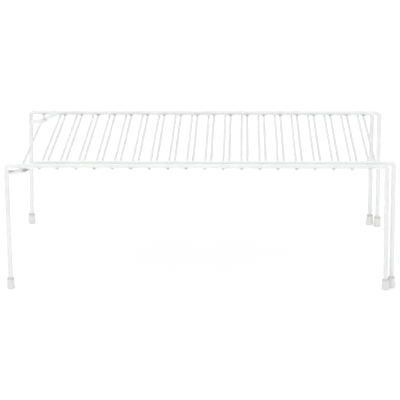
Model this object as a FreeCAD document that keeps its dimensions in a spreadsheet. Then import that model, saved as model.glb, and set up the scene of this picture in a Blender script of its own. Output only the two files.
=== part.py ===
"""Expandable wire shelf: a main unit on four legs and an extension unit on two legs that nests in it.

Frame: millimetres, +Z up, +X to the extension's end, -Y to the front. The origin is the centre of the
collapsed shelf's box on the surface that it stands on.
"""
import FreeCAD
import Part
import Sketcher

import math
import os

# Driving dimensions, in millimetres unless the name says otherwise.
DIMENSIONS = {
    "wire_diameter": "4.8",
    "rung_diameter": "2.5",
    "rung_end_rounding": "0.8",
    "weld_depth": "0.3",
    "bend_radius": "4.0",
    "rung_pitch": "19.05",
    "main_rungs": "20",
    "extension_rungs": "19",
    # Main unit
    "main_centre_x": "-3.4",
    "left_leg_gap": "15.4",
    "right_leg_gap": "16.6",
    "main_depth": "217.2",
    "main_rail_height": "134.4",
    "main_rung_overhang": "1.0",
    "front_left_toe_out": "0.0",
    "front_right_toe_out": "2.2",
    "rear_left_toe_out": "3.3",
    "rear_right_toe_out": "0.4",
    # Extension unit
    "rail_inset": "7.4",
    "extension_rail_rise": "1.4",
    "extension_leg_offset": "7.7",
    "extension_toe_out": "1.2",
    "extension_rung_offset": "6.3",
    "extension_rung_overhang": "1.2",
    "hook_drop": "9.6",
    "hook_tip_inset": "1.2",
    "hook_droop_degrees": "5",
    "hook_slope_degrees": "32",
    "hook_bend_radius": "7.0",
    # Foot caps
    "cap_height": "10.8",
    "cap_floor": "1.8",
    "cap_bottom_diameter": "8.4",
    "cap_top_diameter": "7.3",
    "cap_bottom_rounding": "1.1",
    "cap_rim_rounding": "0.45",
}

FRONT = -1
REAR = 1

doc = FreeCAD.newDocument("expandable_wire_shelf")
sheet = doc.addObject("Spreadsheet::Sheet", "Dimensions")
for row, (alias, number) in enumerate(DIMENSIONS.items(), start=1):
    sheet.set("A%d" % row, alias)
    sheet.set("B%d" % row, number)
    sheet.setAlias("B%d" % row, alias)
doc.recompute()


def size(alias):
    """A driving dimension's value."""
    return float(sheet.get(alias))


def cell(alias):
    """The expression that reads a driving dimension."""
    return "Dimensions." + alias


def rung_place(number):
    """A main rung's X from the main unit's centre, counted from 0 at the left: value and expression."""
    value = (number - (size("main_rungs") - 1) / 2) * size("rung_pitch")
    return value, "(%d - (%s - 1) / 2) * %s" % (number, cell("main_rungs"), cell("rung_pitch"))


def leg_place(hand):
    """A main leg's X at the rail, from the main unit's centre: value and expression."""
    last = int(size("main_rungs")) - 1
    if hand == "left":
        value, expression = rung_place(0)
        return value - size("left_leg_gap"), "%s - %s" % (expression, cell("left_leg_gap"))
    value, expression = rung_place(last)
    return value + size("right_leg_gap"), "%s + %s" % (expression, cell("right_leg_gap"))


def origin_plane(body, role):
    """A body's own origin plane."""
    for feature in body.Origin.OriginFeatures:
        if feature.Role == role:
            return feature
    raise ValueError(role)


def new_sketch(body, name, role):
    """A sketch on one of the body's origin planes."""
    sketch = body.newObject("Sketcher::SketchObject", name)
    sketch.AttachmentSupport = [(origin_plane(body, role), "")]
    sketch.MapMode = "FlatFace"
    return sketch


def bind(sketch, kind, *places, name, expression, value):
    """Adds a named dimension to a sketch and ties it to an expression."""
    index = sketch.addConstraint(Sketcher.Constraint(kind, *places, value))
    sketch.renameConstraint(index, name)
    sketch.setExpression("Constraints." + name, expression)


def bent_path(sketch, corners, radii):
    """Straight runs between the corner points, joined by tangent arcs of the named radii.

    Returns the geometry numbers of the straight runs.
    """
    runs = []
    arcs = []
    start = corners[0]
    for before, corner, after, alias in zip(corners, corners[1:], corners[2:], radii):
        radius = size(alias)
        into = (corner - before).normalize()
        away = (after - corner).normalize()
        turn = math.acos(max(-1.0, min(1.0, into.dot(away))))
        trim = radius * math.tan(turn / 2)
        first = corner - into * trim
        last = corner + away * trim
        inward = (away - into).normalize()
        centre = corner + inward * (radius / math.cos(turn / 2))
        middle = centre - inward * radius
        runs.append(sketch.addGeometry(Part.LineSegment(start, first)))
        arcs.append(sketch.addGeometry(Part.Arc(first, middle, last)))
        start = last
    runs.append(sketch.addGeometry(Part.LineSegment(start, corners[-1])))
    for number, arc in enumerate(arcs):
        corner = corners[number + 1]
        head = end_nearest(sketch, arc, sketch.getPoint(runs[number], 2))
        tail = 3 - head
        sketch.addConstraint(Sketcher.Constraint("Tangent", runs[number], 2, arc, head))
        sketch.addConstraint(Sketcher.Constraint("Tangent", arc, tail, runs[number + 1], 1))
        bind(sketch, "Radius", arc, name="bend_%d" % (number + 1),
             expression=cell(radii[number]), value=size(radii[number]))
    return runs


def end_nearest(sketch, arc, point):
    """Which end of an arc, 1 or 2, lies at a point."""
    gaps = [(sketch.getPoint(arc, end) - point).Length for end in (1, 2)]
    return 1 + gaps.index(min(gaps))


def sweep_wire(body, path):
    """Sweeps the round section of the frame wire along a path sketch from its first point."""
    section = body.newObject("Sketcher::SketchObject", body.Name + "_section")
    section.AttachmentSupport = [(path, "Edge1")]
    section.MapMode = "NormalToEdge"
    section.MapPathParameter = 0.0
    circle = Part.Circle(FreeCAD.Vector(0, 0, 0), FreeCAD.Vector(0, 0, 1), size("wire_diameter") / 2)
    index = section.addGeometry(circle)
    section.addConstraint(Sketcher.Constraint("Coincident", index, 3, -1, 1))
    bind(section, "Diameter", index, name="wire_diameter",
         expression=cell("wire_diameter"), value=size("wire_diameter"))
    doc.recompute()
    pipe = body.newObject("PartDesign::AdditivePipe", body.Name + "_pipe")
    pipe.Profile = section
    pipe.Spine = (path, ["Edge%d" % (n + 1) for n in range(len(path.Shape.Edges))])
    return pipe


def new_body(name):
    """A body whose label is the sub-part's name."""
    body = doc.addObject("PartDesign::Body", name)
    body.Label = name
    return body


def main_frame_wire(side, place):
    """One main frame wire: a leg, the rail and the other leg, bent from one length."""
    body = new_body("main_%s_frame_wire" % place)
    path = new_sketch(body, body.Name + "_path", "XZ_Plane")
    left, left_expression = leg_place("left")
    right, right_expression = leg_place("right")
    left_toe = place + "_left_toe_out"
    right_toe = place + "_right_toe_out"
    floor = size("cap_floor")
    rail = size("main_rail_height")
    corners = [
        FreeCAD.Vector(left - size(left_toe), floor, 0),
        FreeCAD.Vector(left, rail, 0),
        FreeCAD.Vector(right, rail, 0),
        FreeCAD.Vector(right + size(right_toe), floor, 0),
    ]
    left_leg, top, right_leg = bent_path(path, corners, ["bend_radius", "bend_radius"])
    path.addConstraint(Sketcher.Constraint("Horizontal", top))
    bind(path, "DistanceY", top, 1, name="rail_height",
         expression=cell("main_rail_height"), value=rail)
    for leg, end, name in ((left_leg, 1, "left"), (right_leg, 2, "right")):
        bind(path, "DistanceY", leg, end, name=name + "_leg_end",
             expression=cell("cap_floor"), value=floor)
    bind(path, "DistanceX", left_leg, 2, name="left_leg_top", expression=left_expression, value=left)
    bind(path, "DistanceX", right_leg, 1, name="right_leg_top", expression=right_expression, value=right)
    bind(path, "DistanceX", left_leg, 1, name="left_foot",
         expression="%s - %s" % (left_expression, cell(left_toe)), value=left - size(left_toe))
    bind(path, "DistanceX", right_leg, 2, name="right_foot",
         expression="%s + %s" % (right_expression, cell(right_toe)), value=right + size(right_toe))
    doc.recompute()
    sweep_wire(body, path)
    body.setExpression("Placement.Base.x", cell("main_centre_x"))
    body.setExpression("Placement.Base.y", "%d * %s / 2" % (side, cell("main_depth")))
    return body


def extension_frame_wire(side, place):
    """One extension frame wire: a hook tongue, a sloping jog, the rail and a leg.

    The hook's heel lies straight below the first main rung, and its tongue droops towards the tip.
    """
    body = new_body("extension_%s_frame_wire" % place)
    path = new_sketch(body, body.Name + "_path", "XZ_Plane")
    left, left_expression = leg_place("left")
    right, right_expression = leg_place("right")
    heel = rung_place(0)[0]
    floor = size("cap_floor")
    rail = size("main_rail_height") + size("extension_rail_rise")
    slope = math.radians(size("hook_slope_degrees"))
    droop = math.radians(size("hook_droop_degrees"))
    heel_height = rail - size("hook_drop")
    tip = left + size("hook_tip_inset")
    jog_length = size("hook_drop") / math.tan(slope)
    leg_top = right + size("extension_leg_offset")
    foot = leg_top + size("extension_toe_out")
    corners = [
        FreeCAD.Vector(tip, heel_height - (heel - tip) * math.tan(droop), 0),
        FreeCAD.Vector(heel, heel_height, 0),
        FreeCAD.Vector(heel + jog_length, rail, 0),
        FreeCAD.Vector(leg_top, rail, 0),
        FreeCAD.Vector(foot, floor, 0),
    ]
    tongue, jog, top, leg = bent_path(path, corners, ["hook_bend_radius", "hook_bend_radius", "bend_radius"])
    trim = size("hook_bend_radius") * math.tan(slope / 2)
    trim_expression = "%s * tan(%s * 1 deg / 2)" % (cell("hook_bend_radius"), cell("hook_slope_degrees"))
    rail_height = "%s + %s" % (cell("main_rail_height"), cell("extension_rail_rise"))
    leg_top_expression = "%s + %s" % (right_expression, cell("extension_leg_offset"))
    tip_drop = "(%s - (%s)) * tan(%s * 1 deg)" % (
        rung_place(0)[1], "%s + %s" % (left_expression, cell("hook_tip_inset")), cell("hook_droop_degrees"))
    path.addConstraint(Sketcher.Constraint("Horizontal", top))
    bind(path, "DistanceY", top, 1, name="rail_height", expression=rail_height, value=rail)
    bind(path, "DistanceX", top, 1, name="jog_top",
         expression="%s + %s / tan(%s * 1 deg) + %s" % (
             rung_place(0)[1], cell("hook_drop"), cell("hook_slope_degrees"), trim_expression),
         value=heel + jog_length + trim)
    bind(path, "DistanceX", tongue, 1, name="tongue_tip",
         expression="%s + %s" % (left_expression, cell("hook_tip_inset")), value=tip)
    bind(path, "DistanceY", tongue, 1, name="tip_height",
         expression="%s - %s - %s" % (rail_height, cell("hook_drop"), tip_drop), value=corners[0].y)
    bind(path, "Angle", tongue, name="tongue_droop",
         expression=cell("hook_droop_degrees") + " * 1 deg", value=droop)
    bind(path, "Angle", jog, name="jog_slope",
         expression=cell("hook_slope_degrees") + " * 1 deg", value=slope)
    bind(path, "DistanceX", leg, 1, name="leg_top", expression=leg_top_expression, value=leg_top)
    bind(path, "DistanceX", leg, 2, name="foot",
         expression="%s + %s" % (leg_top_expression, cell("extension_toe_out")), value=foot)
    bind(path, "DistanceY", leg, 2, name="leg_end", expression=cell("cap_floor"), value=floor)
    doc.recompute()
    sweep_wire(body, path)
    body.setExpression("Placement.Base.x", cell("main_centre_x"))
    body.setExpression("Placement.Base.y",
                       "%d * (%s / 2 - %s)" % (side, cell("main_depth"), cell("rail_inset")))
    return body


def rung(name, place_x, rail_height, half_length):
    """A straight cross rung with rounded ends, set into the undersides of two rails."""
    body = new_body(name)
    outline = new_sketch(body, name + "_outline", "XZ_Plane")
    circle = Part.Circle(FreeCAD.Vector(0, 0, 0), FreeCAD.Vector(0, 0, 1), size("rung_diameter") / 2)
    index = outline.addGeometry(circle)
    outline.addConstraint(Sketcher.Constraint("Coincident", index, 3, -1, 1))
    bind(outline, "Diameter", index, name="rung_diameter",
         expression=cell("rung_diameter"), value=size("rung_diameter"))
    pad = body.newObject("PartDesign::Pad", name + "_pad")
    pad.Profile = outline
    pad.Midplane = True
    pad.setExpression("Length", "2 * (%s)" % half_length)
    doc.recompute()
    ends = ["Edge%d" % (n + 1) for n, edge in enumerate(pad.Shape.Edges)
            if isinstance(edge.Curve, Part.Circle)]
    rounded = body.newObject("PartDesign::Fillet", name + "_rounded_ends")
    rounded.Base = (pad, ends)
    rounded.setExpression("Radius", cell("rung_end_rounding"))
    body.setExpression("Placement.Base.x", place_x)
    body.setExpression("Placement.Base.z", "%s - %s / 2 - %s / 2 + %s" % (
        rail_height, cell("wire_diameter"), cell("rung_diameter"), cell("weld_depth")))
    return body


def main_rungs():
    """The main unit's rungs, evenly spaced about its middle."""
    half_length = "%s / 2 + %s" % (cell("main_depth"), cell("main_rung_overhang"))
    return [rung("main_rung_%02d" % (number + 1),
                 "%s + %s" % (cell("main_centre_x"), rung_place(number)[1]),
                 cell("main_rail_height"), half_length)
            for number in range(int(size("main_rungs")))]


def extension_rungs():
    """The extension unit's rungs, each just right of a main rung, from the second one on."""
    rail_height = "%s + %s" % (cell("main_rail_height"), cell("extension_rail_rise"))
    half_length = "%s / 2 - %s + %s" % (
        cell("main_depth"), cell("rail_inset"), cell("extension_rung_overhang"))
    return [rung("extension_rung_%02d" % (number + 1),
                 "%s + %s + %s" % (cell("main_centre_x"), rung_place(number + 1)[1],
                                   cell("extension_rung_offset")),
                 rail_height, half_length)
            for number in range(int(size("extension_rungs")))]


def circle_at(shape, height):
    """The name of a shape's round edge at a height."""
    for number, edge in enumerate(shape.Edges):
        if isinstance(edge.Curve, Part.Circle) and abs(edge.Curve.Center.z - height) < 1e-6:
            return "Edge%d" % (number + 1)
    raise ValueError("no round edge at %g" % height)


def foot_cap(name, wire, place_x, place_y):
    """A soft cap pushed on a leg: tapered outside, with a blind bore that the leg fills."""
    outside = new_body(name + "_outside")
    cone = outside.newObject("PartDesign::AdditiveCone", name + "_cone")
    cone.setExpression("Radius1", cell("cap_bottom_diameter") + " / 2")
    cone.setExpression("Radius2", cell("cap_top_diameter") + " / 2")
    cone.setExpression("Height", cell("cap_height"))
    doc.recompute()
    bottom = outside.newObject("PartDesign::Fillet", name + "_bottom")
    bottom.Base = (cone, [circle_at(cone.Shape, 0.0)])
    bottom.setExpression("Radius", cell("cap_bottom_rounding"))
    doc.recompute()
    rim = outside.newObject("PartDesign::Fillet", name + "_rim")
    rim.Base = (bottom, [circle_at(bottom.Shape, size("cap_height"))])
    rim.setExpression("Radius", cell("cap_rim_rounding"))
    outside.setExpression("Placement.Base.x", place_x)
    outside.setExpression("Placement.Base.y", place_y)
    cap = doc.addObject("Part::Cut", name)
    cap.Label = name
    cap.Base = outside
    cap.Tool = wire
    return cap


def main_foot_caps(side, place, wire):
    """The two caps on the legs of one main frame wire."""
    caps = []
    for sign, hand in ((-1, "left"), (1, "right")):
        toe_out = cell("%s_%s_toe_out" % (place, hand))
        place_x = "%s + %s + %d * %s" % (cell("main_centre_x"), leg_place(hand)[1], sign, toe_out)
        place_y = "%d * %s / 2" % (side, cell("main_depth"))
        caps.append(foot_cap("main_%s_%s_foot_cap" % (place, hand), wire, place_x, place_y))
    return caps


def extension_foot_cap(side, place, wire):
    """The cap on the leg of one extension frame wire."""
    place_x = "%s + %s + %s + %s" % (
        cell("main_centre_x"), leg_place("right")[1], cell("extension_leg_offset"), cell("extension_toe_out"))
    place_y = "%d * (%s / 2 - %s)" % (side, cell("main_depth"), cell("rail_inset"))
    return foot_cap("extension_%s_foot_cap" % place, wire, place_x, place_y)


def write_parts(parts):
    """Checks the document and every sub-part, then writes one STEP file for each."""
    doc.recompute()
    for item in doc.Objects:
        if "Invalid" in item.State or "Error" in item.State:
            raise RuntimeError("%s is %s" % (item.Name, item.State))
    for part in parts:
        if part.Shape.isNull() or not part.Shape.isValid() or len(part.Shape.Solids) != 1:
            raise RuntimeError("%s is not one valid solid" % part.Label)
    os.makedirs("parts", exist_ok=True)
    for part in parts:
        part.Shape.exportStep("parts/%s.step" % part.Label)


parts = []
for side, place in ((FRONT, "front"), (REAR, "rear")):
    main_wire = main_frame_wire(side, place)
    extension_wire = extension_frame_wire(side, place)
    parts += [main_wire, extension_wire]
    parts += main_foot_caps(side, place, main_wire)
    parts.append(extension_foot_cap(side, place, extension_wire))
parts += main_rungs() + extension_rungs()
write_parts(parts)
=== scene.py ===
"""The looks of the expandable wire shelf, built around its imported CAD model.

Everything is in metres, in the CAD's own frame: +Z up, +X to the end that extends, -Y to the front.
Each wire is shown as its coated self: rungs flow into their rails through the coating's fillets, and cut
ends are rounded over. The foot caps are soft milky vinyl.
"""

import math

import bmesh
import bpy
import numpy as np
from mathutils import Matrix, Vector


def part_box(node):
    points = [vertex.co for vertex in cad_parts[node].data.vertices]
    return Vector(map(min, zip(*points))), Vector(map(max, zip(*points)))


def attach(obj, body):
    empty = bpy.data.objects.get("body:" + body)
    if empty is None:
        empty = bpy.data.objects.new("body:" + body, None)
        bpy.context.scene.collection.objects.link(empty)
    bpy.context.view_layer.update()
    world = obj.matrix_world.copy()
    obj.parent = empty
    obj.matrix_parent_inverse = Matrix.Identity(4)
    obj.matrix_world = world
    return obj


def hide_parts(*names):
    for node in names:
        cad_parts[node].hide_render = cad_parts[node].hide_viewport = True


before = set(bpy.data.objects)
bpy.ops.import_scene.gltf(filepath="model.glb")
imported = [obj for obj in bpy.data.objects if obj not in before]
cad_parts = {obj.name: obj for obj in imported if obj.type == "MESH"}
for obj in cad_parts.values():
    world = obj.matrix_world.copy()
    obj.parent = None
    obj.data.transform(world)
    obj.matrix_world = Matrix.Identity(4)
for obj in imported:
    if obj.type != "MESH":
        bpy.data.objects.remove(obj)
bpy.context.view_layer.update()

MM = 0.001
PLACES = ("front", "rear")

# Sizes that the CAD's boxes don't give directly
BEND_RADIUS = 4.0 * MM
LEFT_LEG_GAP = 15.4 * MM
RIGHT_LEG_GAP = 16.6 * MM
EXTENSION_LEG_OFFSET = 7.7 * MM
LEG_END_HEIGHT = 1.8 * MM
HOOK_DROP = 9.6 * MM
HOOK_DROOP = math.radians(5)
HOOK_SLOPE = math.radians(32)
HOOK_BEND_RADIUS = 7.0 * MM

# How finely the shapes are divided
RUN_STEP = 3 * MM
ARC_STEPS = 10
WIRE_SEGMENTS = 36
WIRE_END_RINGS = 6
CAP_SEGMENTS = 56
CAP_WALL_STEPS = 9
CAP_RIM_STEPS = 11
REACH_SAMPLES = 180

# The coating's shape
COAT_UNEVENNESS = 0.03 * MM
RUNG_UNEVENNESS = 0.6 * COAT_UNEVENNESS
WIRE_LUMP_LENGTH = 30 * MM
WIRE_OVAL_LENGTH = 70 * MM
RUNG_LUMP_LENGTH = 22 * MM
WAVE_COUNT = 5
WAVE_SPREAD = (0.6, 1.8)
COAT_FILLET = 1.3 * MM
COAT_REACH_LIMIT = 3.4 * MM
NEAREST_REACH = 0.5
RAIL_SKIN = 0.25 * MM
RUNG_END_ROUNDING = 1.0 * MM
WIRE_END_ROUNDING = 1.4 * MM
WIRE_SEED = 11
RUNG_SEEDS = {"main": 23, "extension": 37}

# The most that a rung bows, and the shares of that it may take sideways and upwards
RUNG_BOW = 0.25 * MM
BOW_SIDEWAYS = (-1, 1)
BOW_UPWARDS = (-1, 0.6)

# Where a rung's surface is sampled: degrees from straight up, mm from a rail's middle, and degrees round its
# ends. All lie closest together where the coating's fillets run out.
RUNG_ANGLES = (0, 16, 30, 42, 51, 58, 64, 70, 76, 83, 92, 104, 120, 138, 158, 180)
RAIL_OFFSETS = (0, 0.5, 0.9, 1.2, 1.4, 1.55, 1.7, 1.85, 2.0, 2.15, 2.35, 2.6, 3, 4, 7, 12)
END_SWINGS = (12, 24, 36, 46, 56, 66, 76, 84)
PLAIN_STATIONS = 12
PLAIN_MARGIN = 18 * MM

# The coating's look. Noise scales are in features a metre.
COAT_WHITE = (0.852, 0.862, 0.857)
COAT_SHADE = (0.822, 0.832, 0.827)
COAT_BRIGHT = (0.872, 0.882, 0.877)
# Grey of the painted shade at the hooks
PAINTED_SHADE_GREY = (0.47, 0.48, 0.47)
# Painted shade: the rungs' coat is a darker copy of the rails' white
RUNG_PAINTED_SHADE = 0.835
# Painted light: how far in from the rails the rungs' ends are whitened
PAINTED_LIGHT_REACH = 4 * MM
COAT_TONE_SCALE = 38
COAT_TONE_STOPS = (0.30, 0.52, 0.75)
DULL_PATCH_SCALE = 150
COAT_ROUGHNESS = (0.30, 0.44)
WIRE_PEEL_SCALE = 900
RUNG_PEEL_SCALE = 1100
PEEL_DEPTH = 0.12 * MM
PEEL_STRENGTH = 0.35
FLOW_SCALE = 260
FLOW_DEPTH = 0.3 * MM
FLOW_STRENGTH = 0.25
COAT_LIGHT_REACH = (4 * MM, 4 * MM, 3.8 * MM)

# Marks of painted shade on the hooks: their half size across the wire, and their ragged edge
MARK_WIDTH = 20 * MM
MARK_GRAIN_SCALE = 700
MARK_RAGGEDNESS = 0.35
MARK_EDGE = (0.28, 0.75)

# The caps' shape
CAP_TAPER = 0.89
CAP_BOTTOM_ROUNDING = 1.1 * MM
CAP_BOTTOM_TURN = 82
CAP_RIM_ROUNDING = 0.5 * MM
CAP_LIP = 0.12 * MM
CAP_GAP = 0.08 * MM
CAP_DIMPLE = 0.35 * MM
DIMPLE_EDGE_HEIGHT = 0.12 * MM
FOOT_RING_INSET = 0.25 * MM
MOUTH_FLARE = 0.40 * MM
MOUTH_TOP = 0.8 * MM
MOUTH_FOOT = 1.5 * MM

# Shares of a cap's radius where its dimple is still flat and where it ends, and of its height where its
# straight wall starts and ends. The lip's points are depths below the rim and shares of the lip.
DIMPLE_FLAT = 0.45
DIMPLE_EDGE = 0.62
CAP_WALL = (0.2, 0.86)
LIP_POINTS = ((1.3 * MM, 0.35), (0.95 * MM, 0.9))

# The caps' look
VINYL_MILK = (0.87, 0.87, 0.862)
VINYL_SHADE = (0.84, 0.84, 0.83)
# Painted shade in the caps' mouths, and how far down from the rim it reaches
VINYL_MOUTH_SHADE = (0.68, 0.68, 0.665)
MOUTH_SHADE_DEPTH = 1.3 * MM
VINYL_TONE_SCALE = 420
VINYL_TONE_STOPS = (0.32, 0.6)
BLOOM_SCALE = 900
VINYL_ROUGHNESS = (0.29, 0.40)
VINYL_GRAIN_SCALE = 1500
VINYL_GRAIN_DEPTH = 0.1 * MM
VINYL_GRAIN_STRENGTH = 0.4
VINYL_LIGHT_REACH = (2.2 * MM, 2.1 * MM, 1.9 * MM)

# The camera and the lights
CAMERA_PLACE = Vector((0.0457, -1.8094, 0.6416))
CAMERA_PITCH = math.radians(17.72)
CAMERA_YAW = math.radians(-1.50)
CAMERA_ROLL = math.radians(0.31)
CAMERA_LENS = 154.5
CAMERA_SENSOR = 36.0
WORLD_STRENGTH = 0.62
SIDE_DIMMING = 0.5
OVERHEAD_BOOST = 0.93
KEY_PLACE = (-0.65, -1.6, 0.35)
KEY_AIM = (0, 0, 0.08)
KEY_WIDTH = 0.35
KEY_HEIGHT = 0.7
KEY_POWER = 0.5
FLOOR_SIZE = 12
FLOOR_HEIGHT = -0.2 * MM
FLOOR_WHITE = 0.95
FLOOR_GLOW = 0.122


# ---------------------------------------------------------------- sizes read from the frame

def middle(node):
    """The centre of a CAD node's box."""
    low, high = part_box(node)
    return (low + high) / 2


def wire_size(node):
    """A frame wire's radius, and the height of its rail's centre line and its Y."""
    low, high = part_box(node)
    radius = (high.y - low.y) / 2
    return radius, high.z - radius, (low.y + high.y) / 2


# ---------------------------------------------------------------- mesh helpers

def mesh_piece(name, vertices, faces, body, nodes, material):
    """A smooth-shaded piece that rides on a body and stands for CAD nodes."""
    mesh = bpy.data.meshes.new(name)
    mesh.from_pydata([tuple(v) for v in vertices], [], faces)
    shape = bmesh.new()
    shape.from_mesh(mesh)
    bmesh.ops.recalc_face_normals(shape, faces=shape.faces)
    shape.to_mesh(mesh)
    shape.free()
    mesh.shade_smooth()
    mesh.materials.append(material)
    piece = bpy.data.objects.new(name, mesh)
    bpy.context.scene.collection.objects.link(piece)
    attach(piece, body)
    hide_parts(*nodes)


def closed_mesh(rings, segments):
    """Vertices and faces of a solid of rings, closed at each end with a fan."""
    vertices = np.concatenate(rings)
    poles = [rings[0].mean(axis=0), rings[-1].mean(axis=0)]
    return np.vstack([vertices, poles]), ring_faces(len(rings), segments)


def ring_faces(rings, segments):
    """Quads between consecutive rings, and a fan to a pole at each end. The poles come last."""
    faces = []
    for ring in range(rings - 1):
        here = ring * segments
        there = here + segments
        for i in range(segments):
            j = (i + 1) % segments
            faces.append((here + i, here + j, there + j, there + i))
    last = (rings - 1) * segments
    first_pole = rings * segments
    for i in range(segments):
        j = (i + 1) % segments
        faces.append((first_pole, j, i))
        faces.append((first_pole + 1, last + i, last + j))
    return faces


def gentle_waves(generator, wavelength, amplitude):
    """A smooth random wobble along a length: the sum of a few sines."""
    waves = []
    for _ in range(WAVE_COUNT):
        period = wavelength * generator.uniform(*WAVE_SPREAD)
        waves.append((2 * math.pi / period, generator.uniform(0, 2 * math.pi)))
    scale = amplitude / math.sqrt(WAVE_COUNT)
    return lambda s: scale * sum(np.sin(k * s + phase) for k, phase in waves)


# ---------------------------------------------------------------- frame wires

def add_run(points, end):
    """Adds evenly spaced points from the last one to the end of a straight run."""
    start = points[-1]
    count = max(1, round((end - start).length / RUN_STEP))
    for n in range(1, count + 1):
        points.append(start.lerp(end, n / count))


def bent_line(corners, radii):
    """Points along straight runs between the corners, joined by tangent arcs."""
    points = [corners[0]]
    for before, corner, after, radius in zip(corners, corners[1:], corners[2:], radii):
        into = (corner - before).normalized()
        away = (after - corner).normalized()
        turn = into.angle(away)
        start = corner - into * radius * math.tan(turn / 2)
        centre = corner + (away - into).normalized() * (radius / math.cos(turn / 2))
        axis = into.cross(away)
        add_run(points, start)
        for n in range(1, ARC_STEPS + 1):
            points.append(centre + Matrix.Rotation(turn * n / ARC_STEPS, 3, axis) @ (start - centre))
    add_run(points, corners[-1])
    return points


def wire_mesh(points, radius, generator):
    """A coated wire along points of one XZ plane, with its cut ends rounded over."""
    line = np.array([tuple(p) for p in points])
    along = np.concatenate([[0], np.cumsum(np.linalg.norm(np.diff(line, axis=0), axis=1))])
    tangents = np.gradient(line, along, axis=0)
    tangents /= np.linalg.norm(tangents, axis=1)[:, None]
    thickness = gentle_waves(generator, WIRE_LUMP_LENGTH, COAT_UNEVENNESS)
    ovalness = gentle_waves(generator, WIRE_OVAL_LENGTH, COAT_UNEVENNESS)
    lean = generator.uniform(0, 2 * math.pi)
    angles = np.linspace(0, 2 * math.pi, WIRE_SEGMENTS, endpoint=False)
    across = np.array([0.0, 1.0, 0.0])
    swings = np.linspace(math.pi / 2, 0, WIRE_END_RINGS + 1)
    stations = [(0, 1, swing) for swing in swings]
    stations += [(n, 0, 0.0) for n in range(1, len(line) - 1)]
    stations += [(len(line) - 1, -1, swing) for swing in swings[::-1]]
    rings = []
    for index, inward, swing in stations:
        tangent = tangents[index]
        centre = line[index] + tangent * inward * WIRE_END_ROUNDING * (1 - math.sin(swing))
        local = radius + thickness(along[index]) + ovalness(along[index]) * np.cos(2 * angles + lean)
        local = local - WIRE_END_ROUNDING * (1 - math.cos(swing))
        rings.append(centre + np.outer(local * np.cos(angles), across)
                     + np.outer(local * np.sin(angles), np.cross(tangent, across)))
    return closed_mesh(rings, WIRE_SEGMENTS)


def main_wire_line(place):
    """Centre line of a main frame wire: leg end, two rail corners and leg end."""
    rail_height, y = wire_size("main_%s_frame_wire" % place)[1:]
    corners = [
        Vector((middle("main_%s_left_foot_cap" % place).x, y, LEG_END_HEIGHT)),
        Vector((middle("main_rung_01").x - LEFT_LEG_GAP, y, rail_height)),
        Vector((middle("main_rung_20").x + RIGHT_LEG_GAP, y, rail_height)),
        Vector((middle("main_%s_right_foot_cap" % place).x, y, LEG_END_HEIGHT)),
    ]
    return bent_line(corners, [BEND_RADIUS, BEND_RADIUS])


def extension_wire_line(place):
    """Centre line of an extension frame wire: hook tip, heel, top of the jog, rail corner and leg end."""
    node = "extension_%s_frame_wire" % place
    radius, rail_height, y = wire_size(node)
    heel = middle("main_rung_01").x
    heel_height = rail_height - HOOK_DROP
    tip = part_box(node)[0].x + radius * math.sin(HOOK_DROOP)
    leg_top = middle("main_rung_20").x + RIGHT_LEG_GAP + EXTENSION_LEG_OFFSET
    corners = [
        Vector((tip, y, heel_height - (heel - tip) * math.tan(HOOK_DROOP))),
        Vector((heel, y, heel_height)),
        Vector((heel + HOOK_DROP / math.tan(HOOK_SLOPE), y, rail_height)),
        Vector((leg_top, y, rail_height)),
        Vector((middle("extension_%s_foot_cap" % place).x, y, LEG_END_HEIGHT)),
    ]
    return bent_line(corners, [HOOK_BEND_RADIUS, HOOK_BEND_RADIUS, BEND_RADIUS])


def make_frame_wires(materials):
    """The four bent frame wires, each unit in its own material."""
    generator = np.random.default_rng(WIRE_SEED)
    for unit, line_of in (("main", main_wire_line), ("extension", extension_wire_line)):
        for place in PLACES:
            node = "%s_%s_frame_wire" % (unit, place)
            vertices, faces = wire_mesh(line_of(place), wire_size(node)[0], generator)
            mesh_piece("%s_%s_coated_wire" % (unit, place), vertices, faces, unit + "_shelf",
                       [node], materials[unit])


# ---------------------------------------------------------------- rungs

def rung_distance(points, radius, half_length):
    """Distance from points to a rung on the Y axis with rounded ends."""
    round_off = RUNG_END_ROUNDING
    side = np.hypot(points[..., 0], points[..., 2]) - (radius - round_off)
    end = np.abs(points[..., 1]) - (half_length - round_off)
    outside = np.hypot(np.maximum(side, 0), np.maximum(end, 0))
    return outside + np.minimum(np.maximum(side, end), 0) - round_off


def rail_distance(points, radius, half_gap, height):
    """Distance from points to the nearer of two rails that run along X."""
    return np.hypot(np.abs(points[..., 1]) - half_gap, points[..., 2] - height) - radius


def coat_reach(origins, directions, rung_radius, half_length, rail_radius, half_gap, height):
    """How far the coating's surface lies from points of the rung's axis, along given directions.

    The coating joins rung and rail with a fillet. A ray that goes into the rail stops just under its skin.
    """
    reach = np.linspace(NEAREST_REACH * rung_radius, COAT_REACH_LIMIT, REACH_SAMPLES)
    points = origins[:, None, :] + directions[:, None, :] * reach[None, :, None]
    rung = rung_distance(points, rung_radius, half_length)
    rail = rail_distance(points, rail_radius, half_gap, height)
    # A polynomial smooth minimum of the two distances makes the fillet
    overlap = np.maximum(COAT_FILLET - np.abs(rung - rail), 0) / COAT_FILLET
    surface = np.minimum(rung, rail) - overlap ** 2 * COAT_FILLET / 4
    stop = (surface > 0) | (rail < -RAIL_SKIN)
    first = np.where(stop.any(axis=1), stop.argmax(axis=1), len(reach) - 1)
    rows = np.arange(len(first))
    before = np.maximum(first - 1, 0)
    low, high = surface[rows, before], surface[rows, first]
    crossing = (high > 0) & (low < 0)
    share = np.where(crossing, -low / np.where(crossing, high - low, 1), 1.0)
    return reach[before] + share * (reach[first] - reach[before])


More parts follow.
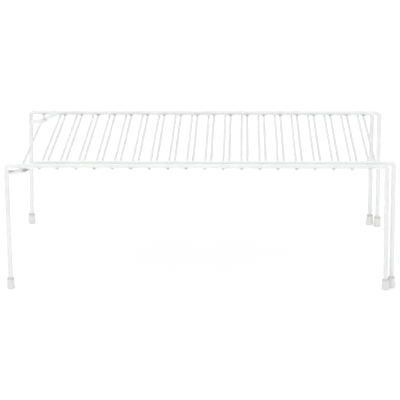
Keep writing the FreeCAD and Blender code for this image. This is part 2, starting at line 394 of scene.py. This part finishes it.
def rung_mesh(rung_radius, half_length, rail_radius, half_gap, height, generator):
    """A coated rung on the Y axis, with the coating's fillets up to both rails."""
    half_turn = np.radians(RUNG_ANGLES)
    angles = np.concatenate([half_turn, 2 * math.pi - half_turn[-2:0:-1]])
    ends = half_length - rung_radius
    offsets = np.array(RAIL_OFFSETS) * MM
    near = np.concatenate([half_gap - offsets, half_gap + offsets])
    near = near[(near < ends) & (near > 0)]
    far = np.linspace(0, half_gap - PLAIN_MARGIN, PLAIN_STATIONS)
    stations = np.unique(np.round(np.concatenate([near, far, [ends]]), decimals=7))
    stations = np.concatenate([-stations[::-1], stations[stations > 0]])
    swings = np.radians(END_SWINGS)
    rings = [(-ends, -swing) for swing in swings[::-1]]
    rings += [(y, 0.0) for y in stations]
    rings += [(ends, swing) for swing in swings]
    origins = []
    directions = []
    for y, swing in rings:
        for angle in angles:
            origins.append((0, y, 0))
            directions.append((math.cos(swing) * math.sin(angle), math.sin(swing),
                               math.cos(swing) * math.cos(angle)))
    for sign in (-1, 1):
        origins.append((0, sign * ends, 0))
        directions.append((0, sign, 0))
    origins = np.array(origins)
    directions = np.array(directions)
    reach = coat_reach(origins, directions, rung_radius, half_length, rail_radius, half_gap, height)
    thickness = gentle_waves(generator, RUNG_LUMP_LENGTH, RUNG_UNEVENNESS)
    vertices = origins + directions * (reach + thickness(origins[:, 1]))[:, None]
    # A straightened wire keeps a trace of a bow between its welds
    bow = RUNG_BOW * np.cos(np.clip(vertices[:, 1] / half_gap, -1, 1) * math.pi / 2) ** 2
    vertices[:, 0] += bow * generator.uniform(*BOW_SIDEWAYS)
    vertices[:, 2] += bow * generator.uniform(*BOW_UPWARDS)
    return vertices, ring_faces(len(rings), len(angles))


def make_rungs(unit, material):
    """All the rungs of one unit, each with its weld fillets."""
    generator = np.random.default_rng(RUNG_SEEDS[unit])
    rail_radius, rail_height, front_y = wire_size("%s_front_frame_wire" % unit)
    for node in sorted(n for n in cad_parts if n.startswith(unit + "_rung_")):
        low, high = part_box(node)
        centre = middle(node)
        vertices, faces = rung_mesh((high.x - low.x) / 2, (high.y - low.y) / 2, rail_radius,
                                    abs(front_y), rail_height - centre.z, generator)
        mesh_piece(node.replace("rung", "coated_rung"), vertices + np.array(centre), faces,
                   unit + "_shelf", [node], material)


# ---------------------------------------------------------------- foot caps

def cap_profile(bottom_radius, top_radius, height, bore):
    """Outline of half a cap, from its dimpled underside round to the bore's floor."""
    rounding = CAP_BOTTOM_ROUNDING
    points = [
        (DIMPLE_FLAT * bottom_radius, CAP_DIMPLE),
        (DIMPLE_EDGE * bottom_radius, DIMPLE_EDGE_HEIGHT),
        (bottom_radius - rounding - FOOT_RING_INSET, 0.0),
    ]
    for angle in np.radians(np.linspace(0, CAP_BOTTOM_TURN, CAP_WALL_STEPS)):
        points.append((bottom_radius - rounding * (1 - math.sin(angle)), rounding * (1 - math.cos(angle))))
    for share in np.linspace(*CAP_WALL, CAP_WALL_STEPS):
        points.append((bottom_radius + (top_radius - bottom_radius) * share, height * share))
    # The rim: a slightly thicker lip, rounded over into the flared mouth
    for depth, share in LIP_POINTS:
        points.append((top_radius + share * CAP_LIP, height - depth))
    mouth = bore + MOUTH_FLARE
    crown = (top_radius + CAP_LIP - mouth) / 2
    middle_of_rim = mouth + crown
    for angle in np.radians(np.linspace(0, 180, CAP_RIM_STEPS)):
        points.append((middle_of_rim + crown * math.cos(angle),
                       height - CAP_RIM_ROUNDING * (1 - math.sin(angle))))
    points.append((mouth, height - MOUTH_TOP))
    points.append((bore, height - MOUTH_FOOT))
    points.append((bore, LEG_END_HEIGHT))
    return points


def cap_mesh(profile):
    """A cap turned about Z from its outline."""
    rings = []
    for radius, z in profile:
        ring = [(radius * math.cos(a), radius * math.sin(a), z)
                for a in np.linspace(0, 2 * math.pi, CAP_SEGMENTS, endpoint=False)]
        rings.append(np.array(ring))
    return closed_mesh(rings, CAP_SEGMENTS)


def make_foot_caps(material):
    """The six vinyl caps, upright and flat on the floor whichever way their legs lean."""
    for node in sorted(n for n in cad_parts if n.endswith("_foot_cap")):
        low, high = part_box(node)
        unit, place = node.split("_")[:2]
        leg_radius = wire_size("%s_%s_frame_wire" % (unit, place))[0]
        bottom_radius = (high.x - low.x) / 2
        profile = cap_profile(bottom_radius, bottom_radius * CAP_TAPER, high.z, leg_radius + CAP_GAP)
        vertices, faces = cap_mesh(profile)
        place_of_cap = np.array(((low.x + high.x) / 2, (low.y + high.y) / 2, 0.0))
        mesh_piece(node.replace("foot_cap", "vinyl_cap"), vertices + place_of_cap, faces,
                   unit + "_shelf", [node], material)


# ---------------------------------------------------------------- shader helpers

def new_material(name):
    """An empty node material: its nodes, a function that links sockets, and its Principled shader."""
    material = bpy.data.materials.new(name)
    material.use_nodes = True
    nodes = material.node_tree.nodes
    return material, nodes, material.node_tree.links.new, nodes["Principled BSDF"]


def set_inputs(node, values):
    """Sets inputs of a node by their names."""
    for name, value in values.items():
        node.inputs[name].default_value = value


def axes_of(nodes, link, space):
    """The X, Y and Z sockets of a space of the Texture Coordinate node."""
    place = nodes.new("ShaderNodeTexCoord")
    split = nodes.new("ShaderNodeSeparateXYZ")
    link(place.outputs[space], split.inputs["Vector"])
    return split.outputs


def arithmetic(nodes, link, operation, *values):
    """A Math node over values that are sockets or plain numbers."""
    node = nodes.new("ShaderNodeMath")
    node.operation = operation
    for socket, value in zip(node.inputs, values):
        if isinstance(value, bpy.types.NodeSocket):
            link(value, socket)
        else:
            socket.default_value = value
    return node.outputs["Value"]


def noise(nodes, link, scale, detail):
    """Noise in the object's own space, at a number of features a metre."""
    place = nodes.new("ShaderNodeTexCoord")
    texture = nodes.new("ShaderNodeTexNoise")
    set_inputs(texture, {"Scale": scale, "Detail": detail})
    link(place.outputs["Object"], texture.inputs["Vector"])
    return texture.outputs["Fac"]


def ramp(nodes, link, value, positions, colours):
    """A colour ramp over a value."""
    node = nodes.new("ShaderNodeValToRGB")
    elements = node.color_ramp.elements
    while len(elements) < len(positions):
        elements.new(0.5)
    for element, position, colour in zip(elements, positions, colours):
        element.position = position
        element.color = (*colour, 1)
    link(value, node.inputs["Fac"])
    return node.outputs["Color"]


def span(nodes, link, value, target, source=(0, 1)):
    """Maps a value from one range to another, held at the ends."""
    mapped = nodes.new("ShaderNodeMapRange")
    set_inputs(mapped, {"From Min": source[0], "From Max": source[1],
                        "To Min": target[0], "To Max": target[1]})
    link(value, mapped.inputs["Value"])
    return mapped.outputs["Result"]


def bump(nodes, link, height, distance, strength, normal=None):
    """A bump node for a height, on top of another normal if there is one."""
    node = nodes.new("ShaderNodeBump")
    set_inputs(node, {"Distance": distance, "Strength": strength})
    link(height, node.inputs["Height"])
    if normal is not None:
        link(normal, node.inputs["Normal"])
    return node.outputs["Normal"]


def blend(nodes, link, share, colour, other):
    """Mixes a share of another, plain colour into a colour."""
    mix = nodes.new("ShaderNodeMix")
    mix.data_type = "RGBA"
    link(share, mix.inputs["Factor"])
    base, added = [socket for socket in mix.inputs if socket.type == "RGBA"]
    link(colour, base)
    added.default_value = (*other, 1)
    return [socket for socket in mix.outputs if socket.type == "RGBA"][0]


def soft_spot(nodes, link, centre, half_size):
    """A value that falls from 1 in the middle of a mark to 0 at its rim."""
    place = nodes.new("ShaderNodeTexCoord")
    mapping = nodes.new("ShaderNodeMapping")
    mapping.vector_type = "TEXTURE"
    set_inputs(mapping, {"Location": centre, "Scale": half_size})
    falloff = nodes.new("ShaderNodeTexGradient")
    falloff.gradient_type = "SPHERICAL"
    link(place.outputs["Object"], mapping.inputs["Vector"])
    link(mapping.outputs["Vector"], falloff.inputs["Vector"])
    return falloff.outputs["Fac"]


# ---------------------------------------------------------------- materials

def painted_shade_at_hooks():
    """Painted shade on the extension wires' hooks, where they sit in shadow under the rails: middle, half
    size and strength of each mark.
    """
    marks = []
    for place, strength, jog_offset, jog_length in (("front", 1.0, 4.5, 6.0), ("rear", 0.35, 2.5, 4.5)):
        rail_height, y = wire_size("extension_%s_frame_wire" % place)[1:]
        heel = middle("main_rung_01").x
        faint = strength * strength
        # On the jog, at the hook's tip and along its back, in mm: X from the heel, depth below the rail,
        # half length and half height
        for offset, depth, length, height, cover in ((jog_offset, 7.5, jog_length, 3.4, strength),
                                                     (-12.5, 8.6, 6.0, 1.7, faint),
                                                     (-6.5, 7.3, 9.0, 1.5, 0.6 * faint)):
            centre = Vector((heel + offset * MM, y, rail_height - depth * MM))
            marks.append((centre, Vector((length * MM, MARK_WIDTH, height * MM)), cover))
    return marks


def paint_shade_in(nodes, link, colour, marks):
    """Paints shade into a coating's colour as grey inside marks, with a ragged edge."""
    for centre, half_size, strength in marks:
        grain = noise(nodes, link, MARK_GRAIN_SCALE, detail=3)
        spot = soft_spot(nodes, link, centre, half_size)
        ragged = arithmetic(nodes, link, "MULTIPLY_ADD", grain, MARK_RAGGEDNESS, spot)
        cover = span(nodes, link, ragged, (0, strength), MARK_EDGE)
        colour = blend(nodes, link, cover, colour, PAINTED_SHADE_GREY)
    return colour


def paint_light_at_welds(nodes, link, colour):
    """Paints light onto a rung's coating towards its two ends, whitening the shade where it meets the rails
    at the welds.
    """
    out = arithmetic(nodes, link, "ABSOLUTE", axes_of(nodes, link, "Object")["Y"])
    rail = wire_size("main_rear_frame_wire")[2]
    lit_share = span(nodes, link, out, (0, 1), (rail - PAINTED_LIGHT_REACH, rail))
    return blend(nodes, link, lit_share, colour, COAT_BRIGHT)


def coated_white(name, peel_scale, shade=1.0, marks=(), lit_welds=False):
    """Glossy white coating over steel wire: faint tone changes, orange peel and dull patches, with painted
    shade or painted light where asked.
    """
    material, nodes, link, shader = new_material(name)
    # A shade below 1 makes a darker copy of the white: painted shade
    tones = [[shade * part for part in colour] for colour in (COAT_SHADE, COAT_WHITE, COAT_BRIGHT)]
    white = ramp(nodes, link, noise(nodes, link, COAT_TONE_SCALE, detail=4), COAT_TONE_STOPS, tones)
    # Painted light: the rungs' ends whitened where the rails shade them
    if lit_welds:
        white = paint_light_at_welds(nodes, link, white)
    # Painted shade: grey laid into the colour at the hook marks
    link(paint_shade_in(nodes, link, white, marks), shader.inputs["Base Color"])
    patches = noise(nodes, link, DULL_PATCH_SCALE, detail=5)
    link(span(nodes, link, patches, COAT_ROUGHNESS), shader.inputs["Roughness"])
    peel = bump(nodes, link, noise(nodes, link, peel_scale, detail=2), PEEL_DEPTH, PEEL_STRENGTH)
    flow = bump(nodes, link, noise(nodes, link, FLOW_SCALE, detail=1), FLOW_DEPTH, FLOW_STRENGTH, peel)
    link(flow, shader.inputs["Normal"])
    set_inputs(shader, {
        "Subsurface Weight": 1.0,
        "Subsurface Radius": COAT_LIGHT_REACH,
        "Subsurface Scale": 1.0,
        "IOR": 1.5,
        "Coat Weight": 0.15,
        "Coat Roughness": 0.12,
    })
    return material


def milky_vinyl(cap_height):
    """Soft translucent vinyl with a faint bloom, with painted shade darkening its mouth where the leg goes
    in.
    """
    material, nodes, link, shader = new_material("milky_vinyl")
    tone = noise(nodes, link, VINYL_TONE_SCALE, detail=4)
    milk = ramp(nodes, link, tone, VINYL_TONE_STOPS, (VINYL_SHADE, VINYL_MILK))
    # Painted shade: darker towards the rim, where the leg goes into the mouth
    mouth = span(nodes, link, axes_of(nodes, link, "Object")["Z"], (0, 1),
                 (cap_height - MOUTH_SHADE_DEPTH, cap_height - MOUTH_SHADE_DEPTH / 3))
    link(blend(nodes, link, mouth, milk, VINYL_MOUTH_SHADE), shader.inputs["Base Color"])
    bloom = noise(nodes, link, BLOOM_SCALE, detail=3)
    link(span(nodes, link, bloom, VINYL_ROUGHNESS), shader.inputs["Roughness"])
    grain = noise(nodes, link, VINYL_GRAIN_SCALE, detail=3)
    link(bump(nodes, link, grain, VINYL_GRAIN_DEPTH, VINYL_GRAIN_STRENGTH), shader.inputs["Normal"])
    set_inputs(shader, {
        "Subsurface Weight": 0.55,
        "Subsurface Radius": VINYL_LIGHT_REACH,
        "Subsurface Scale": 1.0,
        "IOR": 1.52,
    })
    return material


def pale_floor():
    """Plain pale studio floor, a little lit from within like a light table."""
    material, *_, shader = new_material("studio_floor")
    set_inputs(shader, {
        "Base Color": (FLOOR_WHITE, FLOOR_WHITE, FLOOR_WHITE, 1),
        "Roughness": 0.9,
        "Specular IOR Level": 0.1,
        "Emission Color": (1, 1, 1, 1),
        "Emission Strength": FLOOR_GLOW,
    })
    return material


# ---------------------------------------------------------------- studio

def make_camera():
    """The camera, by its place and its pitch, yaw and roll."""
    forward = Vector((math.sin(CAMERA_YAW) * math.cos(CAMERA_PITCH),
                      math.cos(CAMERA_YAW) * math.cos(CAMERA_PITCH), -math.sin(CAMERA_PITCH)))
    level = Vector((math.cos(CAMERA_YAW), -math.sin(CAMERA_YAW), 0))
    right = Matrix.Rotation(CAMERA_ROLL, 3, forward) @ level
    up = right.cross(forward)
    data = bpy.data.cameras.new("camera")
    data.lens = CAMERA_LENS
    data.sensor_width = CAMERA_SENSOR
    camera = bpy.data.objects.new("camera", data)
    turn = Matrix((right, up, -forward)).transposed().to_4x4()
    camera.matrix_world = Matrix.Translation(CAMERA_PLACE) @ turn
    bpy.context.scene.collection.objects.link(camera)
    bpy.context.scene.camera = camera


def make_key_light():
    """One upright rectangular soft box, at the front and left, that points at the shelf."""
    data = bpy.data.lights.new("key_light", "AREA")
    data.shape = "RECTANGLE"
    data.size = KEY_WIDTH
    data.size_y = KEY_HEIGHT
    data.energy = KEY_POWER
    light = bpy.data.objects.new("key_light", data)
    light.location = KEY_PLACE
    light.rotation_euler = (Vector(KEY_AIM) - Vector(KEY_PLACE)).to_track_quat("-Z", "Y").to_euler()
    bpy.context.scene.collection.objects.link(light)


def make_surroundings():
    """White surroundings: brightest overhead, and dimmer off the shelf's two ends."""
    world = bpy.data.worlds.new("studio")
    world.use_nodes = True
    nodes = world.node_tree.nodes
    link = world.node_tree.links.new
    direction = axes_of(nodes, link, "Generated")
    parts = []
    for axis, strengths in (("X", (WORLD_STRENGTH, WORLD_STRENGTH * (1 - SIDE_DIMMING))),
                            ("Z", (0, OVERHEAD_BOOST))):
        square = arithmetic(nodes, link, "MULTIPLY", direction[axis], direction[axis])
        parts.append(span(nodes, link, square, strengths))
    nodes["Background"].inputs["Color"].default_value = (1, 1, 1, 1)
    link(arithmetic(nodes, link, "ADD", *parts), nodes["Background"].inputs["Strength"])
    bpy.context.scene.world = world


def make_studio():
    """Floor, surroundings, the key light, and plain colours in the render."""
    bpy.ops.mesh.primitive_plane_add(size=FLOOR_SIZE, location=(0, 0, FLOOR_HEIGHT))
    floor = bpy.context.object
    floor.name = "studio_floor"
    floor.data.materials.append(pale_floor())
    make_surroundings()
    make_key_light()
    view = bpy.context.scene.view_settings
    view.view_transform = "Standard"
    view.look = "None"


make_camera()
make_studio()
# The extension wires' coat carries painted shade at its hooks
wire_coats = {"main": coated_white("coated_main_wire", WIRE_PEEL_SCALE),
              "extension": coated_white("coated_extension_wire", WIRE_PEEL_SCALE, marks=painted_shade_at_hooks())}
# The rungs' coat: a darker painted-shade copy, with painted light at the welds
rung_coat = coated_white("coated_rung", RUNG_PEEL_SCALE, shade=RUNG_PAINTED_SHADE, lit_welds=True)
make_frame_wires(wire_coats)
make_rungs("main", rung_coat)
make_rungs("extension", rung_coat)
make_foot_caps(milky_vinyl(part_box("main_front_left_foot_cap")[1].z))
